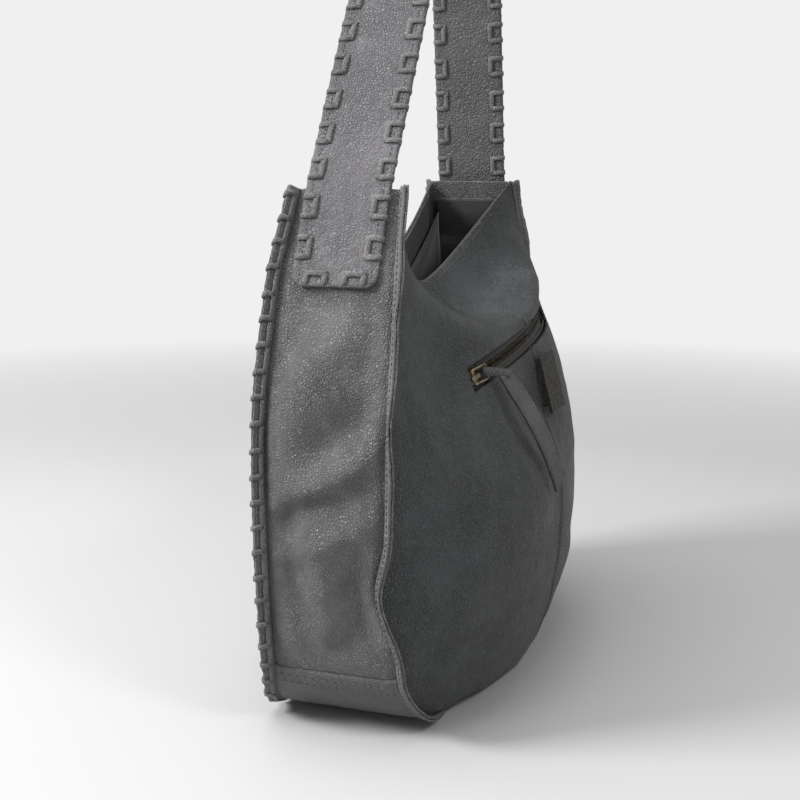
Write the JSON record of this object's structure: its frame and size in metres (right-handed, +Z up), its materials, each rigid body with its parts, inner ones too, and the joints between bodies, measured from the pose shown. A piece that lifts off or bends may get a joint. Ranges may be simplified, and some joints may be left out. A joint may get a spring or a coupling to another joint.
{
  "type": "hobo bag",
  "caption": "Slouchy leather hobo bag with a laced shoulder strap, an outer zip pocket with a leather pull, and an open top with a magnetic snap.",
  "frame": {"origin": "middle of the flat base, on the surface that the bag stands on", "axes": "+Z up, X along the bag's length with the zip pull's end at -X, the zipped front faces -Y"},
  "size_m": [0.3952, 0.2188, 0.6104],
  "materials": {
    "front_leather": "soft pebbled",
    "rear_leather": "soft pebbled",
    "gusset_leather": "soft pebbled",
    "base_leather": "soft pebbled",
    "edge_leather": "raw edge",
    "facing_leather": "matte",
    "lining_cloth": "matte woven",
    "snap_metal": "aged",
    "welt_leather": "matte",
    "zip_tape": "woven",
    "zip_metal": "aged",
    "pocket_cloth": "matte woven",
    "plate_metal": "darkened, mottled",
    "pull_leather": "matte",
    "strap_leather": "soft pebbled",
    "strap_backing": "matte",
    "lacing": "raw, frayed"
  },
  "bodies": {
    "bag_body": {"front_panel_left": "front_leather", "front_panel_right": "front_leather", "rear_panel": "rear_leather", "gusset_left": "gusset_leather", "gusset_right": "gusset_leather", "base_panel": "base_leather", "front_seam_edging": "edge_leather", "rear_seam_edging": "edge_leather", "front_facing": "facing_leather", "rear_facing": "facing_leather", "front_lining": "lining_cloth", "rear_lining": "lining_cloth", "gusset_lining_left": "lining_cloth", "gusset_lining_right": "lining_cloth", "base_lining": "lining_cloth", "snap_stud": "snap_metal", "snap_socket": "snap_metal", "pocket_welt": "welt_leather", "zip_tape_upper": "zip_tape", "zip_tape_lower": "zip_tape", "zip_teeth_upper": "zip_metal", "zip_teeth_lower": "zip_metal", "pocket_lining_front": "pocket_cloth", "pocket_lining_rear": "pocket_cloth", "plate": "plate_metal", "strap_tail_left": "strap_leather", "strap_tail_right": "strap_leather", "rear_seam_lacing": "lacing", "tail_lacing_left": "lacing", "tail_lacing_right": "lacing"},
    "shoulder_strap": {"strap_leather": "strap_leather", "strap_backing": "strap_backing", "strap_lacing_front": "lacing", "strap_lacing_rear": "lacing"},
    "slider": {"zip_slider": "zip_metal"},
    "bail": {"pull_bail": "zip_metal"},
    "tab": {"pull_tab": "pull_leather"}
  },
  "joints": [
    {"name": "strap_swing", "type": "hinge", "parent": "bag_body", "child": "shoulder_strap", "pos_m": [0, 0, 0.385], "axis": [1, 0, 0], "range_deg": [-80, 80]},
    {"name": "zip_slide", "type": "hinge", "parent": "bag_body", "child": "slider", "pos_m": [0.0215, 0.2788, 0.12717], "axis": [-0.0976, 0.3075, 0.9465], "range_deg": [0, 26.5]},
    {"name": "bail_lift", "type": "hinge", "parent": "slider", "child": "bail", "pos_m": [-0.09376, -0.06755, 0.22783], "axis": [0.0976, -0.3075, -0.9465], "range_deg": [0, 100]},
    {"name": "tab_swing", "type": "hinge", "parent": "bail", "child": "tab", "pos_m": [-0.08383, -0.0736, 0.23082], "axis": [-0.3044, -0.9147, 0.2658], "range_deg": [0, 35]}
  ]
}
